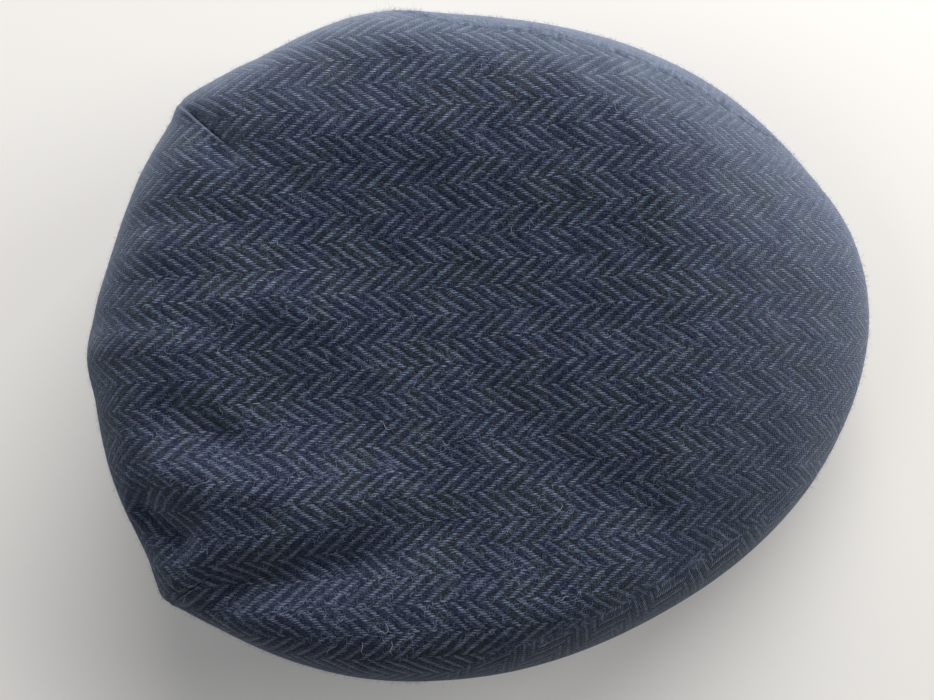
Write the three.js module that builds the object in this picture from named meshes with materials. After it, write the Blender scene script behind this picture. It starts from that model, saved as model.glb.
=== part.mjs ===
// A flat cap of wool cloth, lying with its head opening down.
// Millimetres, +X to the peak, +Y to the wearer's left, +Z up, z = 0 is the surface it lies on.
// The crown is one smooth skin, cut at its seam into a top panel and two side panels.
// A place on the skin is a direction around the crown and a way down its section:
// -1 at the middle of the top, 0 on the shoulder, 1 at the widest place and 2 at the lower edge.

import * as THREE from 'three';

// Sizes of the crown
const capLength = 282;
const capWidth = 236;
const crownHeight = 66;
const middleHeight = 51;
const clothWall = 2;
const seamGap = 0.4;

// Sizes of the head opening and its turned-in hem
const openingLength = 188;
const openingWidth = 166;
const openingSetBack = 10;
const hemWall = 4;
const hemHeight = 9;
const hemRunOut = 0.2;

// Sizes of the peak
const peakThickness = 4;
const peakHornThickness = 2.2;
const peakEdgeLift = 6;
const peakRootLift = 12;
const peakHornAngle = 84;
const peakArchAngle = 62;
const peakClearance = 0.3;
const hornRunOut = 8;

// Where the side panels start beside the peak, and how dense the skin is
const sidePanelStart = 24;
const columnStep = 3;
const plateauRings = [0.16, 0.34, 0.5, 0.64, 0.77, 0.89, 1];
const rollRows = 7;
const sideRows = 6;
const peakRows = 5;
const edgeRows = 3;

// How full the sides are under the widest place, at its upper and lower end
const flankFullTop = 0.5;
const flankFullFoot = 0.35;

// Where the folds of the top fade out on the way down, and over what share of a fold its ends rise
const foldsFull = 0.35;
const foldsGone = 1;
const foldEnd = 0.2;

// How far apart the places are that a direction on the skin is taken from
const probeWay = 0.01;
const probeTurn = 0.2;

// The outline from above: direction in degrees from the front, reach as a share of the half sizes
const outline = [
  { at: 0, reach: 1 },
  { at: 15, reach: 1.003 },
  { at: 30, reach: 0.98 },
  { at: 50, reach: 0.972 },
  { at: 75, reach: 0.964 },
  { at: 90, reach: 0.979 },
  { at: 104, reach: 1.024 },
  { at: 120, reach: 1.015 },
  { at: 129, reach: 1.035 },
  { at: 134, reach: 1.047 },
  { at: 138, reach: 1.025 },
  { at: 146, reach: 1.002 },
  { at: 160, reach: 0.975 },
  { at: 172, reach: 0.984 },
  { at: 180, reach: 1 },
  { at: 188, reach: 0.99 },
  { at: 205, reach: 1.017 },
  { at: 214, reach: 1.043 },
  { at: 218, reach: 1.071 },
  { at: 220.5, reach: 1.089 },
  { at: 223.5, reach: 1.08 },
  { at: 230, reach: 1.06 },
  { at: 250, reach: 1.034 },
  { at: 265, reach: 1.001 },
  { at: 290, reach: 0.948 },
  { at: 310, reach: 0.944 },
  { at: 335, reach: 0.966 },
  { at: 350, reach: 0.986 },
];

// The crown's sections from the front (0) to the back (180): the shoulder's place as a share of the
// outline, the heights of the shoulder and of the widest place as shares of the crown's height,
// and how full the roll is between them, outwards and downwards
const sections = [
  { at: 0, shoulder: 0.4, shoulderUp: 0.78, widestUp: 0.26, fullOut: 0.4, fullDown: 0.42 },
  { at: 25, shoulder: 0.46, shoulderUp: 0.79, widestUp: 0.26, fullOut: 0.44, fullDown: 0.44 },
  { at: 50, shoulder: 0.62, shoulderUp: 0.82, widestUp: 0.33, fullOut: 0.5, fullDown: 0.44 },
  { at: 75, shoulder: 0.73, shoulderUp: 0.87, widestUp: 0.43, fullOut: 0.52, fullDown: 0.46 },
  { at: 95, shoulder: 0.78, shoulderUp: 0.91, widestUp: 0.48, fullOut: 0.56, fullDown: 0.5 },
  { at: 120, shoulder: 0.82, shoulderUp: 0.96, widestUp: 0.54, fullOut: 0.58, fullDown: 0.54 },
  { at: 145, shoulder: 0.8, shoulderUp: 0.99, widestUp: 0.55, fullOut: 0.56, fullDown: 0.55 },
  { at: 180, shoulder: 0.77, shoulderUp: 1, widestUp: 0.53, fullOut: 0.54, fullDown: 0.55 },
];

// The seam between top and sides: how far down the section it runs on each side of the cap
const seam = [
  { at: 0, left: 2, right: 2 },
  { at: 18, left: 2, right: 2 },
  { at: 24, left: 1.5, right: 1.55 },
  { at: 30, left: 0.96, right: 1.02 },
  { at: 37, left: 0.7, right: 0.76 },
  { at: 48, left: 0.55, right: 0.55 },
  { at: 62, left: 0.46, right: 0.43 },
  { at: 78, left: 0.39, right: 0.33 },
  { at: 91, left: 0.35, right: 0.31 },
  { at: 98, left: 0.48, right: 0.46 },
  { at: 106, left: 0.88, right: 0.88 },
  { at: 118, left: 1.17, right: 1.17 },
  { at: 180, left: 1.2, right: 1.2 },
];

// The peak's outer edge as a share of the crown's outline, and the crown's lower edge on it,
// from the peak's outer edge (0) to its root (1)
const peakPlan = [
  { at: 0, edge: 0.982, footing: 0.07 },
  { at: 25, edge: 0.976, footing: 0.07 },
  { at: 42, edge: 0.95, footing: 0.14 },
  { at: 58, edge: 0.9, footing: 0.36 },
  { at: 72, edge: 0.82, footing: 0.62 },
  { at: 84, edge: 0.725, footing: 0.9 },
];

// Folds of the soft top: from one end to the other in shares of the half length and half width,
// height as a share of the crown's height, and breadth as a share of its width. The hollows come
// first, then the ridges
const folds = [
  { fromX: -0.3, fromY: -0.56, toX: 0.6, toY: -0.54, height: -0.06, breadth: 0.12 },
  { fromX: -0.58, fromY: -0.17, toX: -0.3, toY: -0.22, height: -0.045, breadth: 0.07 },
  { fromX: -0.68, fromY: -0.66, toX: -0.3, toY: -0.61, height: -0.115, breadth: 0.034 },
  { fromX: -0.3, fromY: -0.6, toX: -0.12, toY: -0.54, height: -0.035, breadth: 0.034 },
  { fromX: -0.84, fromY: -0.42, toX: -0.7, toY: -0.53, height: -0.09, breadth: 0.03 },
  { fromX: -0.76, fromY: -0.15, toX: -0.58, toY: -0.3, height: -0.06, breadth: 0.032 },
  { fromX: -0.9, fromY: 0.08, toX: -0.5, toY: 0.05, height: -0.016, breadth: 0.024 },
  { fromX: -0.84, fromY: 0.36, toX: -0.55, toY: 0.35, height: -0.014, breadth: 0.024 },
  { fromX: -0.86, fromY: 0.19, toX: -0.58, toY: 0.18, height: -0.014, breadth: 0.024 },
  { fromX: -0.66, fromY: 0.66, toX: -0.56, toY: 0.5, height: -0.03, breadth: 0.022 },
  { fromX: -0.8, fromY: -0.74, toX: -0.6, toY: -0.66, height: -0.035, breadth: 0.022 },
  { fromX: 0, fromY: -0.2, toX: 0.42, toY: -0.66, height: -0.03, breadth: 0.055 },
  { fromX: -0.5, fromY: 0.42, toX: 0.6, toY: 0.42, height: 0.04, breadth: 0.17 },
  { fromX: -0.5, fromY: 0.56, toX: -0.05, toY: 0.6, height: 0.02, breadth: 0.06 },
  { fromX: -0.62, fromY: 0.1, toX: -0.32, toY: 0.06, height: 0.04, breadth: 0.045 },
  { fromX: -0.76, fromY: -0.31, toX: -0.46, toY: -0.43, height: 0.045, breadth: 0.032 },
  { fromX: -0.46, fromY: -0.42, toX: -0.2, toY: -0.45, height: 0.03, breadth: 0.034 },
  { fromX: -0.97, fromY: 0.03, toX: -0.66, toY: 0.01, height: 0.016, breadth: 0.024 },
  { fromX: -0.35, fromY: -0.8, toX: 0.4, toY: -0.74, height: 0.015, breadth: 0.05 },
];

const halfLength = capLength / 2;
const halfWidth = capWidth / 2;

const radians = THREE.MathUtils.degToRad;
const mix = THREE.MathUtils.lerp;
const rise = THREE.MathUtils.smoothstep;

// The angle between -180 and 180 degrees that names a direction's side and its turn from the front
function turnFromFront(angle) {
  return THREE.MathUtils.euclideanModulo(angle + 180, 360) - 180;
}

// A smooth curve through a table's rows, which closes on itself where the rows go all the way round
function follow(rows, column, angle, round = false) {
  const knot = (i) => {
    if (!round) {
      return rows[THREE.MathUtils.clamp(i, 0, rows.length - 1)];
    }
    const row = rows[THREE.MathUtils.euclideanModulo(i, rows.length)];
    return { ...row, at: row.at + 360 * Math.floor(i / rows.length) };
  };
  let low = 0;
  while (low < rows.length - 1 && knot(low + 1).at <= angle) {
    low += 1;
  }
  const [before, start, end, after] = [low - 1, low, low + 1, low + 2].map(knot);
  const span = end.at - start.at;
  if (span <= 0) {
    return start[column];
  }
  const slope = (a, b) => (b[column] - a[column]) / (b.at - a.at);
  const share = THREE.MathUtils.clamp((angle - start.at) / span, 0, 1);
  const cube = share ** 3;
  const square = share ** 2;
  return (2 * cube - 3 * square + 1) * start[column]
    + (cube - 2 * square + share) * span * slope(before, end)
    + (3 * square - 2 * cube) * end[column]
    + (cube - square) * span * slope(start, after);
}

// The place of the cap's outline in a direction, seen from above
function outlineAt(angle) {
  const reach = follow(outline, 'reach', THREE.MathUtils.euclideanModulo(angle, 360), true);
  const turn = radians(angle);
  return new THREE.Vector2(halfLength * reach * Math.cos(turn), halfWidth * reach * Math.sin(turn));
}

// The share of the outline at which the head opening's oval lies
function openingShare(angle) {
  const ray = outlineAt(angle);
  const along = openingLength / 2;
  const across = openingWidth / 2;
  const a = (ray.x / along) ** 2 + (ray.y / across) ** 2;
  const b = (ray.x * openingSetBack) / along ** 2;
  const c = (openingSetBack / along) ** 2 - 1;
  return (-b + Math.sqrt(b * b - a * c)) / a;
}

// The peak: its outer edge and root as shares of the outline, its thickness and its arched lift
function peakEdgeShare(angle) {
  return follow(peakPlan, 'edge', Math.abs(turnFromFront(angle)));
}

function peakThicknessAt(angle) {
  const turn = Math.abs(turnFromFront(angle));
  return mix(peakThickness, peakHornThickness, rise(turn, peakArchAngle, peakHornAngle));
}

function peakLiftAt(angle, inward) {
  const turn = Math.abs(turnFromFront(angle));
  const arch = 1 - rise(turn, 0, peakArchAngle);
  return arch * mix(peakEdgeLift, peakRootLift, inward);
}

function peakShare(angle, inward) {
  return mix(peakEdgeShare(angle), openingShare(angle), inward);
}

// How far a direction is past the peak's horns: 0 on the peak, 1 where the edge is on the surface
function pastHorns(angle) {
  return rise(Math.abs(turnFromFront(angle)), peakHornAngle, peakHornAngle + hornRunOut);
}

// The crown's lower edge: on the peak in front, on the surface behind the horns
function footAt(angle) {
  const past = pastHorns(angle);
  const inward = follow(peakPlan, 'footing', Math.abs(turnFromFront(angle)));
  const onPeak = peakLiftAt(angle, inward) + peakThicknessAt(angle) + peakClearance;
  return { share: mix(peakShare(angle, inward), openingShare(angle), past), height: onPeak * (1 - past) };
}

function seamAt(angle) {
  const turn = turnFromFront(angle);
  return Math.min(follow(seam, turn < 0 ? 'right' : 'left', Math.abs(turn)), 2);
}

// The folds' height over a place of the plan
function foldsAt(x, y) {
  let height = 0;
  for (const fold of folds) {
    const from = new THREE.Vector2(fold.fromX * halfLength, fold.fromY * halfWidth);
    const to = new THREE.Vector2(fold.toX * halfLength, fold.toY * halfWidth);
    const run = to.clone().sub(from);
    const place = new THREE.Vector2(x, y).sub(from);
    const along = place.dot(run) / run.lengthSq();
    const across = Math.abs(place.cross(run)) / run.length();
    const ends = rise(along, -foldEnd, foldEnd) * (1 - rise(along, 1 - foldEnd, 1 + foldEnd));
    height += fold.height * crownHeight * ends * Math.exp(-((across / (fold.breadth * capWidth)) ** 2));
  }
  return height;
}

function bezier(a, b, c, d, t) {
  const s = 1 - t;
  return a * s ** 3 + 3 * b * s * s * t + 3 * c * s * t * t + d * t ** 3;
}

// The section in one direction: share of the outline and height at a way down from -1 to 2
function sectionAt(angle, way) {
  const turn = Math.abs(turnFromFront(angle));
  const [shoulder, shoulderUp, widestUp, fullOut, fullDown] =
    ['shoulder', 'shoulderUp', 'widestUp', 'fullOut', 'fullDown'].map((column) => follow(sections, column, turn));
  const top = shoulderUp * crownHeight;
  const widest = widestUp * crownHeight;
  if (way <= 0) {
    const out = 1 + way;
    return { share: shoulder * out, height: mix(middleHeight, top, out ** 3 * (4 - 3 * out)) };
  }
  if (way <= 1) {
    const out = mix(shoulder, 1, fullOut);
    return {
      share: bezier(shoulder, out, 1, 1, way),
      height: bezier(top, top, mix(widest, top, fullDown), widest, way),
    };
  }
  const foot = footAt(angle);
  const upper = mix(widest, foot.height, flankFullTop);
  const lower = mix(foot.height, widest, flankFullFoot);
  return {
    share: bezier(1, 1, foot.share, foot.share, way - 1),
    height: bezier(widest, upper, lower, foot.height, way - 1),
  };
}

// A place on the crown's outer face
function skin(angle, way) {
  const section = sectionAt(angle, way);
  const plan = outlineAt(angle).multiplyScalar(section.share);
  const soft = 1 - rise(way, foldsFull, foldsGone);
  return new THREE.Vector3(plan.x, plan.y, section.height + soft * foldsAt(plan.x, plan.y));
}

// The outward direction at a place on the crown
function skinNormal(angle, way) {
  const low = Math.max(way - probeWay, probeWay - 1);
  const here = Math.max(way, low);
  const around = skin(angle + probeTurn, here).sub(skin(angle - probeTurn, here));
  const down = skin(angle, Math.min(way + probeWay, 2)).sub(skin(angle, low));
  return down.cross(around).normalize();
}

// The cloth is doubled inwards where the hem is turned up
function wallAt(angle, height) {
  const above = rise(height, (1 - hemRunOut) * hemHeight, (1 + hemRunOut) * hemHeight);
  return mix(clothWall, hemWall, pastHorns(angle) * (1 - above));
}

// A place on the crown's inner face
function lining(angle, way) {
  const outer = skin(angle, way);
  const inner = outer.clone().addScaledVector(skinNormal(angle, way), -wallAt(angle, outer.z));
  if (way < 2) {
    return inner;
  }
  const foot = outlineAt(angle);
  const share = footAt(angle).share - wallAt(angle, outer.z) / foot.length();
  const inward = (peakEdgeShare(angle) - share) / (peakEdgeShare(angle) - openingShare(angle));
  const turn = Math.abs(turnFromFront(angle));
  const slope = peakLiftAt(angle, inward) - peakLiftAt(angle, follow(peakPlan, 'footing', turn));
  foot.multiplyScalar(share);
  return new THREE.Vector3(foot.x, foot.y, outer.z + slope * (1 - pastHorns(angle)));
}

// The way down the section where a side panel starts, a gap below the seam's line
function underSeam(angle) {
  const way = seamAt(angle);
  const down = skin(angle, way + probeWay).sub(skin(angle, way));
  const along = skin(angle + probeTurn, seamAt(angle + probeTurn));
  along.sub(skin(angle - probeTurn, seamAt(angle - probeTurn))).normalize();
  return way + (probeWay * seamGap) / down.cross(along).length();
}

// A closed body between an outer and an inner grid of places; round ones join their last column
// to the first, and capped ones close their first row with a single place on each face
function closedSheet(outerGrid, innerGrid, { round = false, caps = null } = {}) {
  const columns = outerGrid.length;
  const rows = outerGrid[0].length;
  const places = [...outerGrid.flat(), ...innerGrid.flat()];
  const outer = (i, j) => (i % columns) * rows + j;
  const inner = (i, j) => columns * rows + outer(i, j);
  const faces = [];
  const quad = (a, b, c, d) => {
    const short = places[a].distanceTo(places[c]) <= places[b].distanceTo(places[d]);
    faces.push(...(short ? [a, b, c, a, c, d] : [a, b, d, b, c, d]));
  };
  const spans = round ? columns : columns - 1;
  for (let i = 0; i < spans; i += 1) {
    for (let j = 0; j < rows - 1; j += 1) {
      quad(outer(i, j), outer(i, j + 1), outer(i + 1, j + 1), outer(i + 1, j));
      quad(inner(i, j), inner(i + 1, j), inner(i + 1, j + 1), inner(i, j + 1));
    }
    quad(outer(i, rows - 1), inner(i, rows - 1), inner(i + 1, rows - 1), outer(i + 1, rows - 1));
    if (caps) {
      faces.push(places.length, outer(i, 0), outer(i + 1, 0));
      faces.push(places.length + 1, inner(i + 1, 0), inner(i, 0));
    } else {
      quad(outer(i, 0), outer(i + 1, 0), inner(i + 1, 0), inner(i, 0));
    }
  }
  if (!round) {
    const last = columns - 1;
    for (let j = 0; j < rows - 1; j += 1) {
      quad(outer(0, j), inner(0, j), inner(0, j + 1), outer(0, j + 1));
      quad(outer(last, j), outer(last, j + 1), inner(last, j + 1), inner(last, j));
    }
  }
  const geometry = new THREE.BufferGeometry();
  geometry.setFromPoints(caps ? [...places, ...caps] : places);
  geometry.setIndex(faces);
  return geometry;
}

function columnsBetween(first, last) {
  const count = Math.round((last - first) / columnStep);
  return Array.from({ length: count + 1 }, (_, i) => mix(first, last, i / count));
}

// The top panel, from the middle of the top down to its seam
function topPanelGeometry() {
  const columns = columnsBetween(0, 360).slice(0, -1);
  const waysAt = (angle) => [
    ...plateauRings.map((ring) => ring - 1),
    ...Array.from({ length: rollRows }, (_, j) => (seamAt(angle) * (j + 1)) / rollRows),
  ];
  const outer = columns.map((angle) => waysAt(angle).map((way) => skin(angle, way)));
  const inner = columns.map((angle) => waysAt(angle).map((way) => lining(angle, way)));
  const middle = skin(0, -1);
  const underMiddle = middle.clone().setZ(middle.z - clothWall);
  return closedSheet(outer, inner, { round: true, caps: [middle, underMiddle] });
}

// A side panel, from beside the peak to the centre back, below the seam
function sidePanelGeometry(side) {
  const columns = columnsBetween(sidePanelStart, 180).map((turn) => side * turn);
  const waysAt = (angle) => {
    const start = underSeam(angle);
    return Array.from({ length: sideRows + 1 }, (_, j) => mix(start, 2, j / sideRows));
  };
  const apart = (place, angle) => {
    if (Math.abs(angle) === 180) {
      place.y += (side * seamGap) / 2;
    }
    return place;
  };
  const outer = columns.map((angle) => waysAt(angle).map((way) => apart(skin(angle, way), angle)));
  const inner = columns.map((angle) => waysAt(angle).map((way) => apart(lining(angle, way), angle)));
  return side > 0 ? closedSheet(outer, inner) : closedSheet(outer.reverse(), inner.reverse());
}

// The peak: a stiff crescent under cloth, arched from side to side, with a rounded outer edge
function peakGeometry() {
  const columns = columnsBetween(-peakHornAngle, peakHornAngle);
  const place = (angle, inward, up) => {
    const plan = outlineAt(angle).multiplyScalar(peakShare(angle, inward));
    const height = peakLiftAt(angle, inward) + up * peakThicknessAt(angle);
    return new THREE.Vector3(plan.x, plan.y, height);
  };
  const rounded = peakThickness / 2 / (halfLength * peakEdgeShare(0) + openingSetBack - openingLength / 2);
  const inwards = Array.from({ length: peakRows + 1 }, (_, j) => mix(rounded, 1, j / peakRows));
  const turns = Array.from({ length: edgeRows }, (_, j) => ((j + 0.5) / edgeRows) * radians(90));
  const face = (side) => columns.map((angle) => [
    ...turns.map((turn) => place(angle, rounded * (1 - Math.cos(turn)), (1 + side * Math.sin(turn)) / 2)),
    ...inwards.map((inward) => place(angle, inward, (1 + side) / 2)),
  ].reverse());
  return closedSheet(face(1), face(-1));
}

function cloth(name, geometry, colour) {
  const material = new THREE.MeshStandardMaterial({ color: colour, roughness: 0.95, metalness: 0 });
  const mesh = new THREE.Mesh(geometry, material);
  mesh.name = name;
  return mesh;
}

const cap = new THREE.Group();
cap.add(cloth('top_panel', topPanelGeometry(), 0x363c4b));
cap.add(cloth('side_panel_left', sidePanelGeometry(1), 0x333a49));
cap.add(cloth('side_panel_right', sidePanelGeometry(-1), 0x333a49));
cap.add(cloth('peak', peakGeometry(), 0x2f3645));

// The origin is under the middle of the cap's box, on the surface that it lies on
const box = new THREE.Box3().setFromObject(cap);
const middle = box.getCenter(new THREE.Vector3());
cap.position.set(-middle.x, -middle.y, -box.min.z);

export default cap;
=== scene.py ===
import math

import bpy
import numpy as np
from mathutils import Matrix, Vector


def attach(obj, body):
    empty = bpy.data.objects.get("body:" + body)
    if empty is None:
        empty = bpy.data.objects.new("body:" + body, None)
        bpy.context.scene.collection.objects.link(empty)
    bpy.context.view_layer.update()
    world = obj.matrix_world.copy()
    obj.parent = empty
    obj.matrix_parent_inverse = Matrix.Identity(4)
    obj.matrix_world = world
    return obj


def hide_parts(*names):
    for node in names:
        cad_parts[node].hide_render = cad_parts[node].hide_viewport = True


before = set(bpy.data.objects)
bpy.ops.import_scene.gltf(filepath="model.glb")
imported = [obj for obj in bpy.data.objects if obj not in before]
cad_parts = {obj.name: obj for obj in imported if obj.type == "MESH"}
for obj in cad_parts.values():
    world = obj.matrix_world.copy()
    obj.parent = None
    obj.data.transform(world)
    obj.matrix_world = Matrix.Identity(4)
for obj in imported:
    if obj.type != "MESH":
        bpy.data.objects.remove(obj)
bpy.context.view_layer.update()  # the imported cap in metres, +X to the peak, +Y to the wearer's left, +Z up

print("frame loaded")

# The camera, the light and the floor

camera = {
    "place": (-0.00016, -0.02096, 0.30188),
    "backwards": (0.03, -0.06, 1.0),
    "roll": -3.9,
    "lens": 29.1,
    "sensorWidth": 36,
    "nearest": 0.01,
}

lights = [
    # name, place, aimed at, width, height, power in watts, colour
    ("windowLight", (0.58, 1.60, 0.66), (0.0, 0.0, 0.03), 1.8, 0.9, 64.0, (1.0, 0.995, 0.985)),
    ("sideLight", (1.25, 0.3, 0.5), (0.0, 0.0, 0.03), 0.8, 0.7, 12.0, (0.98, 0.99, 1.0)),
    ("fillLight", (-1.1, -0.1, 0.6), (0.0, 0.0, 0.03), 1.0, 0.8, 6.2, (0.95, 0.97, 1.0)),
]

floorLook = {
    "size": 3.0,
    "below": 0.0002,
    "colour": (0.778, 0.753, 0.712),
    "roughness": 0.6,
    "specular": 0.3,
}
worldLook = {"colour": (0.9, 0.93, 1.0), "strength": 0.17}


def placeCamera(settings):
    back = Vector(settings["backwards"]).normalized()
    right = (Vector((1, 0, 0)) - back * back.x).normalized()
    up = back.cross(right)
    roll = math.radians(settings["roll"])
    turnedRight = right * math.cos(roll) + up * math.sin(roll)
    turnedUp = up * math.cos(roll) - right * math.sin(roll)
    data = bpy.data.cameras.new("camera")
    data.lens = settings["lens"]
    data.sensor_width = settings["sensorWidth"]
    data.sensor_fit = "HORIZONTAL"
    data.clip_start = settings["nearest"]
    body = bpy.data.objects.new("camera", data)
    bpy.context.scene.collection.objects.link(body)
    axes = Matrix((turnedRight, turnedUp, back)).transposed().to_4x4()
    body.matrix_world = Matrix.Translation(settings["place"]) @ axes
    bpy.context.scene.camera = body


def addLight(name, place, target, width, height, power, colour):
    data = bpy.data.lights.new(name, "AREA")
    data.shape = "RECTANGLE"
    data.size = width
    data.size_y = height
    data.energy = power
    data.color = colour
    body = bpy.data.objects.new(name, data)
    bpy.context.scene.collection.objects.link(body)
    aim = Vector(target) - Vector(place)
    turned = aim.to_track_quat("-Z", "Y").to_matrix().to_4x4()
    body.matrix_world = Matrix.Translation(place) @ turned


def addFloor(settings):
    bpy.ops.object.select_all(action="DESELECT")
    bpy.ops.mesh.primitive_plane_add(size=settings["size"], location=(0, 0, -settings["below"]))
    floor = bpy.context.active_object
    floor.name = "floor"
    material = bpy.data.materials.new("paleFloor")
    material.use_nodes = True
    shader = material.node_tree.nodes["Principled BSDF"]
    shader.inputs["Base Color"].default_value = (*settings["colour"], 1)
    shader.inputs["Roughness"].default_value = settings["roughness"]
    shader.inputs["Specular IOR Level"].default_value = settings["specular"]
    floor.data.materials.append(material)


def setWorld(settings):
    world = bpy.data.worlds.new("room")
    world.use_nodes = True
    background = world.node_tree.nodes["Background"]
    background.inputs["Color"].default_value = (*settings["colour"], 1)
    background.inputs["Strength"].default_value = settings["strength"]
    bpy.context.scene.world = world


placeCamera(camera)
for light in lights:
    addLight(*light)
addFloor(floorLook)
setWorld(worldLook)
bpy.context.scene.view_settings.view_transform = "Standard"
print("camera, light and floor set")

# The cap's shape. A place on it is a direction round the crown, in degrees from the front to the left,
# and a way down its section: -1 the middle of the top, 0 the shoulder, 1 the widest place and 2 the
# lower edge.

capSize = {
    "length": 0.282,
    "width": 0.236,
    "height": 0.066,
    "middleHeight": 0.051,
    "wall": 0.002,
    "openingLength": 0.188,
    "openingWidth": 0.166,
    "openingBack": 0.010,
    "hemWall": 0.004,
    "hemHeight": 0.009,
    "hemRunOut": 0.2,  # share of the hem's height over which it thins, above and below its edge
    "seamGap": 0.00003,
    "flankFullTop": 0.5,
    "flankFullFoot": 0.35,
}

peakSize = {
    "thickness": 0.004,
    "hornThickness": 0.0022,
    "edgeLift": 0.006,
    "rootLift": 0.012,
    "hornAngle": 84,
    "archAngle": 62,
    "clearance": 0.0003,
    "hornRunOut": 8,
}

outlineRows = [
    # direction, reach as a share of the half sizes
    (0, 1), (15, 1.003), (30, 0.98), (50, 0.972), (75, 0.964), (90, 0.979), (104, 1.024),
    (120, 1.015), (129, 1.035), (134, 1.047), (138, 1.025), (146, 1.002), (160, 0.975), (172, 0.984),
    (180, 1), (188, 0.99), (205, 1.017), (214, 1.043), (218, 1.071), (220.5, 1.089), (223.5, 1.08),
    (230, 1.06), (250, 1.034), (265, 1.001),
    (290, 0.948), (310, 0.944), (335, 0.966), (350, 0.986),
]

sectionRows = [
    # turn from the front, shoulder's share, shoulder's height, widest place's height, full out, full down
    (0, 0.4, 0.78, 0.26, 0.4, 0.42),
    (25, 0.46, 0.79, 0.26, 0.44, 0.44),
    (50, 0.62, 0.82, 0.33, 0.5, 0.44),
    (75, 0.73, 0.87, 0.43, 0.52, 0.46),
    (95, 0.78, 0.91, 0.48, 0.56, 0.5),
    (120, 0.82, 0.96, 0.54, 0.58, 0.54),
    (145, 0.8, 0.99, 0.55, 0.56, 0.55),
    (180, 0.77, 1, 0.53, 0.54, 0.55),
]

seamRows = [
    # turn from the front, the seam's way down on the left, on the right
    (0, 2, 2), (18, 2, 2), (24, 1.5, 1.55), (30, 0.96, 1.02), (37, 0.7, 0.76), (48, 0.55, 0.55),
    (62, 0.46, 0.43), (78, 0.39, 0.33), (91, 0.35, 0.31), (98, 0.48, 0.46), (106, 0.88, 0.88),
    (118, 1.17, 1.17), (180, 1.2, 1.2),
]

peakRows = [
    # turn from the front, the outer edge's share of the outline, the crown's edge on the peak
    (0, 0.982, 0.07), (25, 0.976, 0.07), (42, 0.95, 0.14), (58, 0.9, 0.36), (72, 0.82, 0.62),
    (84, 0.725, 0.9),
]

foldRows = [
    # from x, from y, to x, to y, height, breadth: shares of the half length, half width, height, width
    (-0.3, -0.56, 0.6, -0.54, -0.06, 0.12),
    (-0.58, -0.17, -0.3, -0.22, -0.045, 0.07),
    (-0.68, -0.66, -0.3, -0.61, -0.115, 0.034),
    (-0.3, -0.6, -0.12, -0.54, -0.035, 0.034),
    (-0.84, -0.42, -0.7, -0.53, -0.09, 0.03),
    (-0.76, -0.15, -0.58, -0.3, -0.06, 0.032),
    (-0.9, 0.08, -0.5, 0.05, -0.016, 0.024),
    (-0.84, 0.36, -0.55, 0.35, -0.014, 0.024),
    (-0.86, 0.19, -0.58, 0.18, -0.014, 0.024),
    (-0.66, 0.66, -0.56, 0.5, -0.03, 0.022),
    (-0.8, -0.74, -0.6, -0.66, -0.035, 0.022),
    (0, -0.2, 0.42, -0.66, -0.03, 0.055),
    (-0.5, 0.42, 0.6, 0.42, 0.04, 0.17),
    (-0.5, 0.56, -0.05, 0.6, 0.02, 0.06),
    (-0.62, 0.1, -0.32, 0.06, 0.04, 0.045),
    (-0.76, -0.31, -0.46, -0.43, 0.045, 0.032),
    (-0.46, -0.42, -0.2, -0.45, 0.03, 0.034),
    (-0.97, 0.03, -0.66, 0.01, 0.016, 0.024),
    (-0.35, -0.8, 0.4, -0.74, 0.015, 0.05),
]

dartRows = [
    # from x, from y, to x, to y, the lap's height, how far it runs out: as above
    (-0.7, 0.7, -0.565, 0.54, 0.014, 0.03),
    (-0.86, -0.75, -0.6, -0.585, 0.022, 0.03),
]

folding = {
    "runOut": 0.2,  # share of a fold's length over which it rises or falls, before and after each end
    "full": 0.35,  # the folds are whole down to this way
    "gone": 1,  # and have gone at this one
}

dartStitch = {
    "depth": 0.0010,
    "width": 0.0005,
    "beside": 0.0004,
    "lapStep": 0.0005,
    "grainStep": 0.0003,
    "rises": (-0.9, -0.4),  # shares of the dart's length between which it begins
    "falls": (0.6, 1.1),  # and between which it ends
}

slack = {
    "height": 0.00011,
    # wavelength, heading and start of each wave of the cloth, in metres and degrees
    "waves": ((0.021, 12, 0.3), (0.027, 71, 1.9), (0.017, 118, 4.1), (0.036, 155, 2.6), (0.013, 48, 5.2)),
}

halfLength = capSize["length"] / 2
halfWidth = capSize["width"] / 2

# the steps, in ways down and in degrees, that give a direction along the cloth
probes = {"way": 0.01, "turn": 0.2}


def mix(a, b, share):
    return a + (b - a) * share


def rise(value, low, high):
    share = np.clip((value - low) / (high - low), 0, 1)
    return share * share * (3 - 2 * share)


def turnFromFront(angle):
    return (np.asarray(angle, float) + 180) % 360 - 180


def follow(rows, column, angle, closed=False):
    table = np.array(rows, float)
    at, value = table[:, 0], table[:, column]
    if closed:
        at = np.concatenate((at[-2:] - 360, at, at[:2] + 360))
        value = np.concatenate((value[-2:], value, value[:2]))
        angle = np.asarray(angle, float) % 360
    low = np.clip(np.searchsorted(at, angle, side="right") - 1, 0, len(at) - 2)
    before, high, after = np.maximum(low - 1, 0), low + 1, np.minimum(low + 2, len(at) - 1)
    span = at[high] - at[low]
    share = np.clip((angle - at[low]) / span, 0, 1)
    slopeIn = span * (value[high] - value[before]) / (at[high] - at[before])
    slopeOut = span * (value[after] - value[low]) / (at[after] - at[low])
    square, cube = share**2, share**3
    return ((2 * cube - 3 * square + 1) * value[low] + (cube - 2 * square + share) * slopeIn
            + (3 * square - 2 * cube) * value[high] + (cube - square) * slopeOut)


def outlineAt(angle):
    reach = follow(outlineRows, 1, angle, closed=True)
    turn = np.radians(angle)
    return halfLength * reach * np.cos(turn), halfWidth * reach * np.sin(turn)


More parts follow.
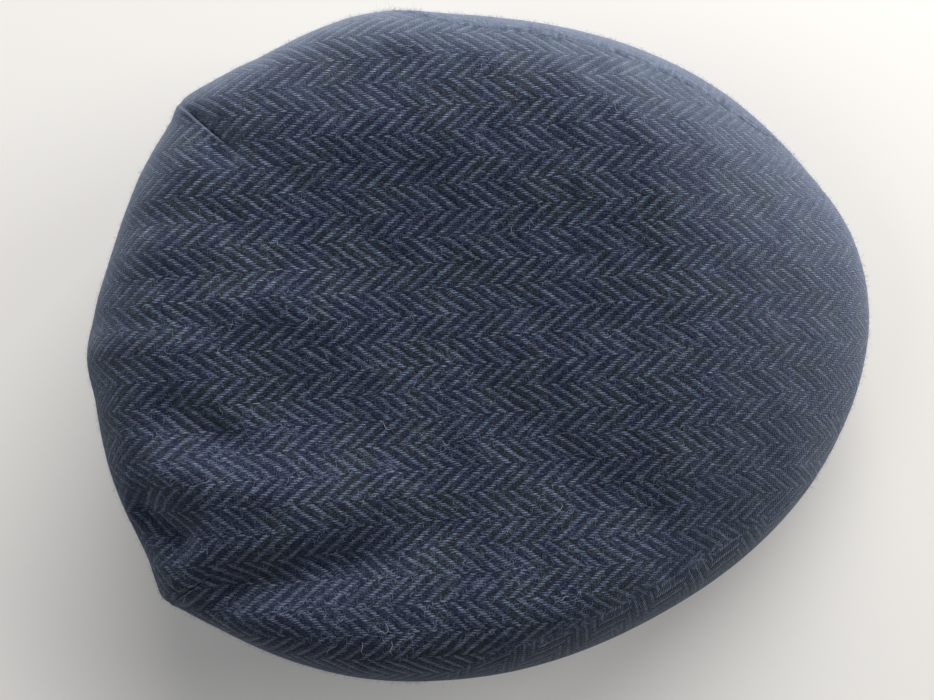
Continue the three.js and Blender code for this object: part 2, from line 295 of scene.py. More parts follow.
def openingShare(angle):
    x, y = outlineAt(angle)
    along, across = capSize["openingLength"] / 2, capSize["openingWidth"] / 2
    a = (x / along) ** 2 + (y / across) ** 2
    b = x * capSize["openingBack"] / along**2
    c = (capSize["openingBack"] / along) ** 2 - 1
    return (-b + np.sqrt(b * b - a * c)) / a


def peakThicknessAt(angle):
    thin = rise(np.abs(turnFromFront(angle)), peakSize["archAngle"], peakSize["hornAngle"])
    return mix(peakSize["thickness"], peakSize["hornThickness"], thin)


def peakLiftAt(angle, inward):
    arch = 1 - rise(np.abs(turnFromFront(angle)), 0, peakSize["archAngle"])
    return arch * mix(peakSize["edgeLift"], peakSize["rootLift"], inward)


def peakEdgeShare(angle):
    return follow(peakRows, 1, np.abs(turnFromFront(angle)))


def pastHorns(angle):
    horn = peakSize["hornAngle"]
    return rise(np.abs(turnFromFront(angle)), horn, horn + peakSize["hornRunOut"])


def footAt(angle):
    past = pastHorns(angle)
    inward = follow(peakRows, 2, np.abs(turnFromFront(angle)))
    share = mix(peakEdgeShare(angle), openingShare(angle), inward)
    onPeak = peakLiftAt(angle, inward) + peakThicknessAt(angle) + peakSize["clearance"]
    return mix(share, openingShare(angle), past), onPeak * (1 - past)


def seamAt(angle):
    turn = turnFromFront(angle)
    left, right = (follow(seamRows, column, np.abs(turn)) for column in (1, 2))
    return np.minimum(np.where(turn < 0, right, left), 2)


# how far along a table's line a place lies, as a share of it, and how far to the line's right
def besideLine(x, y, fromX, fromY, toX, toY):
    startX, startY = fromX * halfLength, fromY * halfWidth
    runX, runY = toX * halfLength - startX, toY * halfWidth - startY
    along = ((x - startX) * runX + (y - startY) * runY) / (runX**2 + runY**2)
    across = ((x - startX) * runY - (y - startY) * runX) / math.hypot(runX, runY)
    return along, across


def foldsAt(x, y):
    height = np.zeros(np.shape(x))
    runOut = folding["runOut"]
    for *line, tall, broad in foldRows:
        along, across = besideLine(x, y, *line)
        ends = rise(along, -runOut, runOut) * (1 - rise(along, 1 - runOut, 1 + runOut))
        height += tall * capSize["height"] * ends * np.exp(-((across / (broad * capSize["width"])) ** 2))
    step = dartStitch["lapStep"]
    for *line, lap, run in dartRows:
        along, across = besideLine(x, y, *line)
        ends = rise(along, *dartStitch["rises"]) * (1 - rise(along, *dartStitch["falls"]))
        lapped = rise(across, -step, step) * np.exp(-np.maximum(across, 0) / (run * capSize["width"]))
        drawnIn = np.exp(-(((across + dartStitch["beside"]) / dartStitch["width"]) ** 2))
        height += (lap * capSize["height"] * lapped - dartStitch["depth"] * drawnIn) * ends
    for wave, heading, start in slack["waves"]:
        turn = math.radians(heading)
        distance = x * math.cos(turn) + y * math.sin(turn)
        height += slack["height"] * np.sin(distance * 2 * math.pi / wave + start)
    return height


def bezier(a, b, c, d, t):
    s = 1 - t
    return a * s**3 + 3 * b * s * s * t + 3 * c * s * t * t + d * t**3


def skin(angle, way):
    angle, way = np.broadcast_arrays(np.asarray(angle, float), np.asarray(way, float))
    turn = np.abs(turnFromFront(angle))
    shoulder, shoulderUp, widestUp, fullOut, fullDown = (follow(sectionRows, i, turn) for i in range(1, 6))
    top, widest = shoulderUp * capSize["height"], widestUp * capSize["height"]
    out = 1 + np.minimum(way, 0)
    roll, flank = np.clip(way, 0, 1), np.clip(way - 1, 0, 1)
    footShare, footHeight = footAt(angle)
    share = np.where(way <= 0, shoulder * out, bezier(shoulder, mix(shoulder, 1, fullOut), 1, 1, roll))
    height = np.where(
        way <= 0,
        mix(capSize["middleHeight"], top, out**3 * (4 - 3 * out)),
        bezier(top, top, mix(widest, top, fullDown), widest, roll))
    flankTop = mix(widest, footHeight, capSize["flankFullTop"])
    flankFoot = mix(footHeight, widest, capSize["flankFullFoot"])
    share = np.where(way > 1, bezier(1, 1, footShare, footShare, flank), share)
    height = np.where(way > 1, bezier(widest, flankTop, flankFoot, footHeight, flank), height)
    x, y = outlineAt(angle)
    x, y = x * share, y * share
    soft = 1 - rise(way, folding["full"], folding["gone"])
    return np.stack((x, y, height + soft * foldsAt(x, y)), -1)


def skinNormal(angle, way):
    probe, turn = probes["way"], probes["turn"]
    low = np.maximum(way - probe, probe - 1)
    here = np.maximum(way, low)
    around = skin(angle + turn, here) - skin(angle - turn, here)
    down = skin(angle, np.minimum(way + probe, 2)) - skin(angle, low)
    normal = np.cross(down, around)
    return normal / np.linalg.norm(normal, axis=-1, keepdims=True)


def wallAt(angle, height):
    hem, runOut = capSize["hemHeight"], capSize["hemRunOut"]
    above = rise(height, (1 - runOut) * hem, (1 + runOut) * hem)
    return mix(capSize["wall"], capSize["hemWall"], pastHorns(angle) * (1 - above))


def liningOf(angle, way, outer, normal):
    wall = wallAt(angle, outer[..., 2])
    inner = outer - normal * wall[..., None]
    x, y = outlineAt(angle)
    share = footAt(angle)[0] - wall / np.hypot(x, y)
    edge, root = peakEdgeShare(angle), openingShare(angle)
    inward = (edge - share) / (edge - root)
    footing = follow(peakRows, 2, np.abs(turnFromFront(angle)))
    slope = (peakLiftAt(angle, inward) - peakLiftAt(angle, footing)) * (1 - pastHorns(angle))
    foot = np.stack((x * share, y * share, outer[..., 2] + slope), -1)
    return np.where((way >= 2)[..., None], foot, inner)


# the ways down at which a column has gone given distances along its section
def waysAtLengths(angle, first, last, lengths, fineness=160):
    steps = np.linspace(0, 1, fineness)
    ways = np.empty((len(angle), len(lengths(1.0))))
    for i, (turn, start, end) in enumerate(zip(angle, first, last)):
        fine = mix(start, end, steps)
        place = skin(turn, fine)
        run = np.concatenate(([0], np.cumsum(np.linalg.norm(np.diff(place, axis=0), axis=1))))
        ways[i] = np.interp(lengths(run[-1]), run, fine)
    return ways


# rows that are even, but close together near an edge that is rounded under
def rowsTo(total, count, band, atStart=False):
    close = np.array([1.0, 0.72, 0.48, 0.28, 0.13, 0.04, 0.0]) * band
    start = close[::-1] if atStart else np.array([0.0])
    end = total - close
    between = np.linspace(start[-1], end[0], count + 1)[1:-1]
    return np.concatenate((start, between, end))


def turnedUnder(distance, radius):
    near = np.clip(radius - distance, 0, radius)
    return radius - np.sqrt(radius**2 - near**2)


# a closed cloth mesh from an outer and an inner grid of points, with a UV map in metres
def clothMesh(name, outer, inner, uv, closed=False, pole=None):
    columns, rows = outer.shape[:2]
    points = np.concatenate((outer.reshape(-1, 3), inner.reshape(-1, 3)))
    flat = np.concatenate((uv.reshape(-1, 2), uv.reshape(-1, 2)))
    if pole is not None:
        points = np.concatenate((points, pole))
        flat = np.concatenate((flat, np.zeros((2, 2))))
    spans = columns if closed else columns - 1
    i, j = np.meshgrid(np.arange(spans), np.arange(rows - 1), indexing="ij")
    nextI = (i + 1) % columns
    a, b, c, d = i * rows + j, i * rows + j + 1, nextI * rows + j + 1, nextI * rows + j
    shift = columns * rows
    quads = [np.stack((a, b, c, d), -1).reshape(-1, 4),
             np.stack((a, d, c, b), -1).reshape(-1, 4) + shift]
    k = np.arange(spans)
    here, there = k * rows, ((k + 1) % columns) * rows
    last = rows - 1
    quads.append(np.stack((here + last, here + last + shift, there + last + shift, there + last), -1))
    triangles = []
    if pole is None:
        quads.append(np.stack((here, there, there + shift, here + shift), -1))
    else:
        top, under = len(points) - 2, len(points) - 1
        triangles = [np.stack((np.full(spans, top), here, there), -1),
                     np.stack((np.full(spans, under), there + shift, here + shift), -1)]
    if not closed:
        j = np.arange(rows - 1)
        end = (columns - 1) * rows
        quads.append(np.stack((j, j + shift, j + 1 + shift, j + 1), -1))
        quads.append(np.stack((end + j, end + j + 1, end + j + 1 + shift, end + j + shift), -1))
    faces = [face for block in quads + triangles for face in block.tolist()]
    mesh = bpy.data.meshes.new(name)
    mesh.from_pydata(points.tolist(), [], faces)
    layer = mesh.uv_layers.new(name="cloth")
    corners = np.empty(len(mesh.loops), np.int32)
    mesh.loops.foreach_get("vertex_index", corners)
    layer.data.foreach_set("uv", flat[corners].ravel())
    mesh.shade_smooth()
    mesh.validate()
    piece = bpy.data.objects.new(name, mesh)
    bpy.context.scene.collection.objects.link(piece)
    return piece


# The weave

cloth = {
    "rowWidth": 0.00851,  # one row of the herringbone
    "endsPerRow": 12,
    "pick": 0.000907,
    "float": 3,  # threads that a thread passes over, and then under
    "rowStart": -0.0020,  # a row's edge lies here, on the left of the cap's middle line
    "wander": 0.0004,
    "wanderScale": 420.0,
    "sweep": 5.0,  # times the wander, over a few centimetres
    "sweepScale": 35.0,
    "roughen": 0.00022,
    "roughScale": 1700.0,
    "roughAlong": 5.0,  # times the roughening, along the thread that it moves
    "roughAlongScale": 1100.0,
    "warpFlatness": 0.8,
}


def mathNode(tree, operation, *values):
    node = tree.nodes.new("ShaderNodeMath")
    node.operation = operation
    for socket, value in zip(node.inputs, values):
        if isinstance(value, bpy.types.NodeSocket):
            tree.links.new(value, socket)
        else:
            socket.default_value = value
    return node.outputs[0]


def noiseNode(tree, vector, scale, detail=2.0):
    node = tree.nodes.new("ShaderNodeTexNoise")
    node.inputs["Scale"].default_value = scale
    node.inputs["Detail"].default_value = detail
    tree.links.new(vector, node.inputs["Vector"])
    return node.outputs["Fac"]


def buildHerringbone():
    tree = bpy.data.node_groups.new("herringbone", "ShaderNodeTree")
    face = tree.interface
    face.new_socket("Vector", in_out="INPUT", socket_type="NodeSocketVector")
    for name in ("End Width", "Pick Length", "Ends Per Row", "Float", "Row Start", "Wander", "Roughen"):
        face.new_socket(name, in_out="INPUT", socket_type="NodeSocketFloat")
    for name in ("Warp", "Weft", "Tone", "Weft Tone"):
        face.new_socket(name, in_out="OUTPUT", socket_type="NodeSocketFloat")
    given = tree.nodes.new("NodeGroupInput")
    result = tree.nodes.new("NodeGroupOutput")
    place, half = given.outputs["Vector"], given.outputs["Float"]

    def m(operation, *values):
        return mathNode(tree, operation, *values)

    def sway(scale, detail, amount):
        return m("MULTIPLY", m("SUBTRACT", noiseNode(tree, place, scale, detail), 0.5), amount)

    flat = tree.nodes.new("ShaderNodeSeparateXYZ")
    tree.links.new(place, flat.inputs[0])
    # the threads wander over a few centimetres, and are rough over half a millimetre
    wander, rough = given.outputs["Wander"], given.outputs["Roughen"]
    astray = m("ADD", sway(cloth["sweepScale"], 2.0, m("MULTIPLY", wander, cloth["sweep"])),
               sway(cloth["wanderScale"], 1.0, wander))
    v = m("ADD", m("SUBTRACT", flat.outputs["Y"], given.outputs["Row Start"]),
          m("ADD", astray, sway(cloth["roughScale"], 2.0, rough)))
    u = m("ADD", m("ADD", flat.outputs["X"], astray),
          sway(cloth["roughAlongScale"], 2.0, m("MULTIPLY", rough, cloth["roughAlong"])))
    across = m("DIVIDE", v, given.outputs["End Width"])
    along = m("DIVIDE", u, given.outputs["Pick Length"])
    end, pick = m("FLOOR", across), m("FLOOR", along)
    row = m("FLOOR", m("DIVIDE", m("ADD", end, 0.5), given.outputs["Ends Per Row"]))
    odd = m("FLOORED_MODULO", row, 2.0)
    lean = m("SUBTRACT", m("MULTIPLY", odd, 2.0), 1.0)  # -1 on even rows, 1 on odd rows
    # the twill breaks off by half a repeat where it turns
    cut = m("MULTIPLY", odd, m("ADD", half, 1.0))
    repeat = m("MULTIPLY", half, 2.0)

    def hump(phase):
        return m("MAXIMUM", m("SINE", m("MULTIPLY", m("DIVIDE", phase, half), math.pi)), 0.0)

    stepped = m("ADD", m("ADD", m("MULTIPLY", lean, end), cut), along)
    warpPhase = m("FLOORED_MODULO", stepped, repeat)
    isWarp = m("LESS_THAN", warpPhase, half)
    warpRound = m("SINE", m("MULTIPLY", m("FRACT", across), math.pi))
    warp = m("MULTIPLY", hump(warpPhase), m("POWER", warpRound, cloth["warpFlatness"]))
    turned = m("ADD", m("MULTIPLY", lean, across), m("SUBTRACT", 1.0, odd))
    weftAlong = m("ADD", turned, m("ADD", pick, cut))
    weftPhase = m("FLOORED_MODULO", weftAlong, repeat)
    weftRound = m("SINE", m("MULTIPLY", m("FRACT", along), math.pi))
    weft = m("MULTIPLY", hump(m("SUBTRACT", weftPhase, half)), weftRound)

    def randomAt(a, b):
        seed = tree.nodes.new("ShaderNodeCombineXYZ")
        tree.links.new(a, seed.inputs[0])
        tree.links.new(b, seed.inputs[1])
        white = tree.nodes.new("ShaderNodeTexWhiteNoise")
        white.noise_dimensions = "2D"
        tree.links.new(seed.outputs[0], white.inputs["Vector"])
        return white.outputs["Value"]

    tree.links.new(m("MULTIPLY", warp, isWarp), result.inputs["Warp"])
    tree.links.new(m("MULTIPLY", weft, m("SUBTRACT", 1.0, isWarp)), result.inputs["Weft"])
    tree.links.new(randomAt(end, m("FLOOR", m("DIVIDE", stepped, repeat))), result.inputs["Tone"])
    tree.links.new(randomAt(pick, m("FLOOR", m("DIVIDE", weftAlong, repeat))), result.inputs["Weft Tone"])
    return tree


wool = {
    "warpPale": (0.224, 0.248, 0.366),
    "warpTeal": (0.180, 0.244, 0.336),
    "warpDeep": (0.012, 0.019, 0.049),
    "weftNavy": (0.008, 0.012, 0.040),
    "weftOlive": (0.012, 0.018, 0.020),
    # painted shade: near black, for the hollows between the rounded threads and down their sides
    "gap": (0.002, 0.003, 0.007),
    "loose": (0.150, 0.180, 0.260),
    "streaks": (800.0, 3400.0, 1.0),  # how fine a yarn's fibres are along it and across it
    "streakFloor": 0.35,
    "streakContrast": 3.6,
    "toneSpread": 0.9,
    "toneLeast": 0.35,
    "broadScale": 60.0,
    "broadSpread": 0.8,
    "broadLeast": 0.55,
    "hueScale": 95.0,
    "hueSpread": 5.0,
    "patchScale": 170.0,
    "patchOlive": 5.0,
    "broadOlive": 8.0,
    "oliveStart": 0.3,
    "weftSpread": 0.7,
    "weftLeast": 0.4,
    "fleckScale": 2600.0,
    "fleckLeast": 0.4,
    "askew": (650.0, 3600.0, 1.0),
    "askewTurn": 16,
    "looseShare": 1.6,
    "roughness": 0.95,
    "specular": 0.2,
    # painted light: the cloth colour grows brighter towards the wearer's left, the lit side
    "paintedLightMiddle": 0.93,
    "paintedLightTilt": 2.3,
    # partly fuzz seen edge-on, partly painted sheen on the lit front and left
    "fuzzAndPaintedSheen": (0.162, 0.190, 0.248),
    "paintedSheenMiddle": 0.45,
    "paintedSheenAcross": 3.6,
    "paintedSheenAlong": 1.9,
    "paintedSheenLeast": 0.08,
    "paintedSheenMost": 0.7,
    "fuzzAndSheenFleck": 0.5,
    "sheen": 0.3,
    "sheenTint": (0.75, 0.86, 1.0),
    "sheenRoughness": 0.3,
    "bumpDistance": 0.0005,
    "bumpStrength": 0.6,
    "weftRelief": 0.7,
    "fibreRelief": 0.8,
}


def colourMix(tree, share, low, high):
    node = tree.nodes.new("ShaderNodeMix")
    node.data_type = "RGBA"
    for socket, value in ((node.inputs[0], share), (node.inputs[6], low), (node.inputs[7], high)):
        if isinstance(value, bpy.types.NodeSocket):
            tree.links.new(value, socket)
        elif isinstance(value, tuple):
            socket.default_value = (*value, 1)
        else:
            socket.default_value = value
    return node.outputs[2]


def woolMaterial(name, group):
    material = bpy.data.materials.new(name)
    material.use_nodes = True
    tree = material.node_tree
    shader = tree.nodes["Principled BSDF"]
    uv = tree.nodes.new("ShaderNodeUVMap")
    uv.uv_map = "cloth"
    where = tree.nodes.new("ShaderNodeTexCoord").outputs["Object"]
    weave = tree.nodes.new("ShaderNodeGroup")
    weave.node_tree = group
    tree.links.new(uv.outputs[0], weave.inputs["Vector"])
    inputs = {
        "End Width": cloth["rowWidth"] / cloth["endsPerRow"],
        "Pick Length": cloth["pick"],
        "Ends Per Row": cloth["endsPerRow"],
        "Float": cloth["float"],
        "Row Start": cloth["rowStart"],
        "Wander": cloth["wander"],
        "Roughen": cloth["roughen"],
    }
    for socket, value in inputs.items():
        weave.inputs[socket].default_value = value

    def m(operation, *values):
        return mathNode(tree, operation, *values)

    def scaled(value, amount, base):
        return m("ADD", m("MULTIPLY", value, amount), base)

    def about(value, middle, amount):
        return m("MULTIPLY", m("SUBTRACT", value, middle), amount)

    def alongCloth(scale, turn, detail):
        node = tree.nodes.new("ShaderNodeMapping")
        node.inputs["Rotation"].default_value = (0, 0, math.radians(turn))
        node.inputs["Scale"].default_value = scale
        tree.links.new(uv.outputs[0], node.inputs["Vector"])
        return noiseNode(tree, node.outputs[0], 1.0, detail)

    # the fibres of a yarn lie along it, so its streaks are longer than they are wide
    fibre = alongCloth(wool["streaks"], 0, 3.0)
    fleck = noiseNode(tree, where, wool["fleckScale"])
    patch = noiseNode(tree, where, wool["patchScale"], 3.0)
    broad = noiseNode(tree, where, wool["broadScale"])
    hairs = m("MAXIMUM", about(fibre, wool["streakFloor"], wool["streakContrast"]), 0.0)
    tone = scaled(weave.outputs["Tone"], wool["toneSpread"], wool["toneLeast"])
    paleness = m("MULTIPLY", tone, hairs)
    paleness = m("MULTIPLY", paleness, scaled(broad, wool["broadSpread"], wool["broadLeast"]))
    hue = m("ADD", about(noiseNode(tree, where, wool["hueScale"]), 0.5, wool["hueSpread"]), 0.5)
    pale = colourMix(tree, hue, wool["warpPale"], wool["warpTeal"])
    warpColour = colourMix(tree, paleness, wool["warpDeep"], pale)
    blotch = m("ADD", about(patch, 0.5, wool["patchOlive"]), about(broad, 0.5, wool["broadOlive"]))
    olive = m("ADD", blotch, m("SUBTRACT", weave.outputs["Weft Tone"], wool["oliveStart"]))
    weftColour = colourMix(tree, olive, wool["weftNavy"], wool["weftOlive"])
    # painted shade: the colour falls towards the gap colour in the hollows between picks and down the sides
    # of each warp float
    ground = m("MULTIPLY", scaled(weave.outputs["Weft"], wool["weftSpread"], wool["weftLeast"]),
               m("ADD", fleck, wool["fleckLeast"]))
    colour = colourMix(tree, ground, wool["gap"], weftColour)
    colour = colourMix(tree, weave.outputs["Warp"], colour, warpColour)
    # loose fibres lie a little askew over both threads
    loose = m("SUBTRACT", alongCloth(wool["askew"], wool["askewTurn"], 2.0), 0.5)
    colour = colourMix(tree, m("MULTIPLY", loose, wool["looseShare"]), colour, wool["loose"])
    place = tree.nodes.new("ShaderNodeSeparateXYZ")
    tree.links.new(where, place.inputs[0])
    # fibres that stand up hide the weave where the cloth is seen edge-on; the pale colour mixed in here is
    # partly that fuzz and partly painted sheen, whose share grows towards the front and the wearer's left,
    # the sides that the lights fall on
    edge = tree.nodes.new("ShaderNodeLayerWeight")
    edge.inputs["Blend"].default_value = 0.5
    stand = scaled(place.outputs["Y"], wool["paintedSheenAcross"], wool["paintedSheenMiddle"])
    stand = scaled(place.outputs["X"], wool["paintedSheenAlong"], stand)
    stand = m("MINIMUM", m("MAXIMUM", stand, wool["paintedSheenLeast"]), wool["paintedSheenMost"])
    fuzzAndPaintedSheen = m("MULTIPLY", edge.outputs["Facing"], m("MULTIPLY", m("ADD", fleck, wool["fuzzAndSheenFleck"]), stand))
    colour = colourMix(tree, fuzzAndPaintedSheen, colour, wool["fuzzAndPaintedSheen"])
    # painted light: the colour is scaled brighter towards the wearer's left, the side that the window light
    # falls on, and darker towards the right
    paintedLightScale = tree.nodes.new("ShaderNodeVectorMath")
    paintedLightScale.operation = "SCALE"
    tree.links.new(colour, paintedLightScale.inputs[0])
    tree.links.new(scaled(place.outputs["Y"], wool["paintedLightTilt"], wool["paintedLightMiddle"]), paintedLightScale.inputs["Scale"])
    tree.links.new(paintedLightScale.outputs["Vector"], shader.inputs["Base Color"])
    shader.inputs["Roughness"].default_value = wool["roughness"]
    shader.inputs["Specular IOR Level"].default_value = wool["specular"]
    shader.inputs["Sheen Weight"].default_value = wool["sheen"]
    shader.inputs["Sheen Tint"].default_value = (*wool["sheenTint"], 1)
    shader.inputs["Sheen Roughness"].default_value = wool["sheenRoughness"]
    bump = tree.nodes.new("ShaderNodeBump")
    bump.inputs["Distance"].default_value = wool["bumpDistance"]
    bump.inputs["Strength"].default_value = wool["bumpStrength"]
    relief = m("MAXIMUM", weave.outputs["Warp"], m("MULTIPLY", weave.outputs["Weft"], wool["weftRelief"]))
    tree.links.new(m("ADD", relief, m("MULTIPLY", fibre, wool["fibreRelief"])), bump.inputs["Height"])
    tree.links.new(bump.outputs[0], shader.inputs["Normal"])
    return material


woolCloth = woolMaterial("navyHerringboneWool", buildHerringbone())
print("weave made")


# Loose wool fibres on the cloth

fuzz = {
    "perSquareMillimetre": 0.78,
    "alongSeam": 6.0,
    "seamBand": 0.0018,
    "length": (0.0014, 0.0042),
    "width": 0.00005,
    "taper": (0.35, math.pi - 0.2),  # the stretch of a half sine that a fibre's width follows
    "rootDepth": 0.00012,
    "headingSpread": 0.9,
    "stand": (0.00012, 0.0011),
    "standPower": 2.5,  # most fibres lie low
    "curl": 0.22,
    "bend": (0.5, 0.5),  # how far along the fibre its middle lies, and how much of the curl it has
    "tip": (0.9, 1.6),
    "tipLift": 1.5,
    "pale": (0.235, 0.290, 0.410),
    "deep": (0.014, 0.020, 0.045),
    "toneScale": 380.0,
    "toneStart": 0.36,
    "toneSpread": 3.4,
    "roughness": 0.9,
    "specular": 0.2,
    "lowest": 0.0003,
}

strays = {
    "count": 46,
    "length": (0.0035, 0.0085),
    "width": 0.00008,
    "stand": 0.0012,
    "rootDepth": 0.0001,
    "turns": 1.8,
    "sway": 0.5,
    "sways": 9,
    "knots": 9,
    "colour": (0.42, 0.45, 0.50),
}


def fibreMaterial(name, deep, pale):
    material = bpy.data.materials.new(name)
    material.use_nodes = True
    tree = material.node_tree
    shader = tree.nodes["Principled BSDF"]
    where = tree.nodes.new("ShaderNodeTexCoord").outputs["Object"]
    spread = mathNode(tree, "SUBTRACT", noiseNode(tree, where, fuzz["toneScale"]), fuzz["toneStart"])
    tone = mathNode(tree, "MULTIPLY", spread, fuzz["toneSpread"])
    tree.links.new(colourMix(tree, tone, deep, pale), shader.inputs["Base Color"])
    shader.inputs["Roughness"].default_value = fuzz["roughness"]
    shader.inputs["Specular IOR Level"].default_value = fuzz["specular"]
    return material


looseFibres = fibreMaterial("looseWoolFibres", fuzz["deep"], fuzz["pale"])
paleFibres = fibreMaterial("paleStrayFibres", fuzz["pale"], strays["colour"])


# ribbons along the given points, one row of points for each fibre, lying flat to the surface
def fibreMesh(name, spines, normals, width, material):
    count, knots = spines.shape[:2]
    spines[..., 2] = np.maximum(spines[..., 2], fuzz["lowest"])
    run = np.gradient(spines, axis=1)
    side = np.cross(run, normals[:, None, :])
    side /= np.linalg.norm(side, axis=-1, keepdims=True)
    thin = np.sin(np.linspace(*fuzz["taper"], knots))[None, :, None] * width / 2
    points = np.stack((spines - side * thin, spines + side * thin), 2).reshape(-1, 3)
    base = (np.arange(count)[:, None] * knots + np.arange(knots - 1)[None, :]).reshape(-1) * 2
    faces = np.stack((base, base + 1, base + 3, base + 2), -1)
    mesh = bpy.data.meshes.new(name)
    mesh.from_pydata(points.tolist(), [], faces.tolist())
    mesh.shade_smooth()
    piece = bpy.data.objects.new(name, mesh)
    bpy.context.scene.collection.objects.link(piece)
    piece.data.materials.append(material)
    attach(piece, "root")


# places spread over a grid of points, with the grid's normal and two ways along it: so many, or else by
# area and closer together along the seam's row
def scatter(surface, chance, closed, count=None, seamRow=None):
    grid = np.concatenate((surface, surface[:1])) if closed else surface
    a, b, c = grid[:-1, :-1], grid[1:, :-1], grid[:-1, 1:]
    across = np.cross(c - a, b - a)
    area = np.linalg.norm(across, axis=-1)
    share = area
    if count is None:
        away = np.linalg.norm(a - grid[:-1, seamRow][:, None], axis=-1)
        share = area * (1 + fuzz["alongSeam"] * np.exp(-(away / fuzz["seamBand"]) ** 2))
        count = int(share.sum() * 1e6 * fuzz["perSquareMillimetre"])
    cell = chance.choice(area.size, count, p=(share / share.sum()).ravel())
    i, j = np.unravel_index(cell, area.shape)
    u, v = chance.random((2, count, 1))
    root = a[i, j] + (b[i, j] - a[i, j]) * u + (c[i, j] - a[i, j]) * v
    out = across[i, j] / area[i, j][:, None]
    first = np.cross(out, (0.0, 1.0, 0.0))
    first /= np.linalg.norm(first, axis=-1, keepdims=True)
    return root, out, first, np.cross(out, first)


# short fibres over a grid of points; where a piece is one of several parts, it has that share of them
def addFuzz(name, surface, seed, seamRow, closed=False, parts=1):
    chance = np.random.default_rng(seed)
    places = scatter(surface, chance, closed, seamRow=seamRow)
    root, out, first, second = (column[::parts] for column in places)
    count = len(root)
    turned = chance.normal(0, fuzz["headingSpread"], (count, 1))
    heading = turned + (chance.random((count, 1)) < 0.5) * math.pi
    forward = first * np.cos(heading) + second * np.sin(heading)
    aside = np.cross(out, forward)
    length = chance.uniform(*fuzz["length"], (count, 1))
    low, high = fuzz["stand"]
    stand = low + (high - low) * chance.random((count, 1)) ** fuzz["standPower"]
    curl = chance.normal(0, fuzz["curl"], (count, 1)) * length
    lift = chance.uniform(0, fuzz["tipLift"], (count, 1))
    spine = [root - out * fuzz["rootDepth"]]
    for (far, curled), height in ((fuzz["bend"], stand), (fuzz["tip"], stand * lift)):
        spine.append(root + forward * length * far + aside * curl * curled + out * height)
    fibreMesh(name, np.stack(spine, 1), out, fuzz["width"], looseFibres)


# a few longer, paler fibres that curl on the cloth
def addStrays(name, surface, seed, settings):
    chance = np.random.default_rng(seed)
    count = settings["count"]
    root, out, first, second = scatter(surface, chance, True, count)
    length = chance.uniform(*settings["length"], (count, 1))
    heading = chance.uniform(0, 2 * math.pi, (count, 1))
    bend = chance.normal(0, settings["turns"], (count, 1))
    stand = settings["stand"] * chance.random((count, 1))
    place, spine = root - out * settings["rootDepth"], []
    for step in np.linspace(0, 1, settings["knots"]):
        turn = heading + bend * step + settings["sway"] * np.sin(step * settings["sways"] + heading)
        spine.append(place + out * stand * math.sin(math.pi * step))
        place = place + (first * np.cos(turn) + second * np.sin(turn)) * length / settings["knots"]
    fibreMesh(name, np.stack(spine, 1), out, settings["width"], paleFibres)


# The top panel

topPanel = {
    "columns": 380,
    "dartColumns": 124,
    "darts": ((135, 146), (213, 223)),
    "plateauRows": 42,
    "rollRows": 28,
    "edgeBand": 0.00016,
    "grainTurn": (15, 75),  # degrees from the front between which it turns from forwards to outwards
}


# which way the cloth's spare length lies in the flat cut: backwards behind the darts, outwards at the
# sides and forwards over the peak
def grainOf(x, y, angle):
    behind = np.zeros(np.shape(x))
    step = dartStitch["grainStep"]
    for (*line, _, _), side in zip(dartRows, (1, -1)):
        across = side * besideLine(x, y, *line)[1]
        behind = np.where(y * side > 0, rise(across, -step, step), behind)
    turn = turnFromFront(angle)
    heading = np.radians(90 * rise(np.abs(turn), *topPanel["grainTurn"])) * np.sign(turn)
    forward = np.stack((np.cos(heading) + 0 * x, np.sin(heading) + 0 * x), -1)
    return mix(forward, np.array((-1.0, 0.0)), (behind * (x < 0))[..., None])


def makeTopPanel(settings):
    parts = [np.linspace(0, 360, settings["columns"], endpoint=False)]
    for low, high in settings["darts"]:
        parts = [part[(part < low) | (part > high)] for part in parts]
        parts.append(np.linspace(low, high, settings["dartColumns"]))
    angles = np.sort(np.concatenate(parts))
    rings = np.linspace(0, 1, settings["plateauRows"] + 1)[1:] - 1
    ends = seamAt(angles)
    rolled = waysAtLengths(angles, np.zeros(len(angles)), ends,
                           lambda total: rowsTo(total, settings["rollRows"], settings["edgeBand"]))[:, 1:]
    rolled[:, -1] = ends
    ways = np.concatenate((np.tile(rings, (len(angles), 1)), rolled), axis=1)
    turn = angles[:, None]
    place = skin(turn, ways)
    normal = skinNormal(turn, ways)
    middle = skin(0.0, -1.0)
    steps = np.linalg.norm(np.diff(place, axis=1), axis=2)
    first = np.linalg.norm(place[:, 0] - middle, axis=1)
    run = np.concatenate((first[:, None], first[:, None] + np.cumsum(steps, axis=1)), axis=1)
    fromEdge = run[:, -1:] - run
    outer = place - normal * turnedUnder(fromEdge, settings["edgeBand"])[..., None]
    inner = liningOf(turn, ways, place, normal)
    # length that the plan doesn't show: on the flat top it lies outwards, past the shoulder with the grain
    plan = place[..., :2]
    reach = np.linalg.norm(plan, axis=-1)[..., None]
    spare = run[..., None] - reach
    onTop = spare[:, len(rings) - 1][:, None]
    uv = (plan * (1 + np.minimum(spare, onTop) / reach)
          + np.maximum(spare - onTop, 0) * grainOf(place[..., 0], place[..., 1], turn))
    pole = np.array((middle, middle - (0, 0, capSize["wall"])))
    piece = clothMesh("topPanelCloth", outer, inner, uv, closed=True, pole=pole)
    piece.data.materials.append(woolCloth)
    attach(piece, "root")
    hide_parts("top_panel")
    addFuzz("topFuzz", outer, 11, -1, closed=True, parts=2)
    addFuzz("topFuzzSecond", outer, 15, -1, closed=True, parts=2)
    addStrays("strayFibres", outer, 14, strays)
    return piece


topPiece = makeTopPanel(topPanel)
print("top panel made", len(topPiece.data.polygons))


# The side panels

sidePanel = {
    "start": 24.0,
    "columnsPerDegree": 2,
    "rows": 34,
    "edgeBand": 0.00016,
    "slant": 45.0,
}


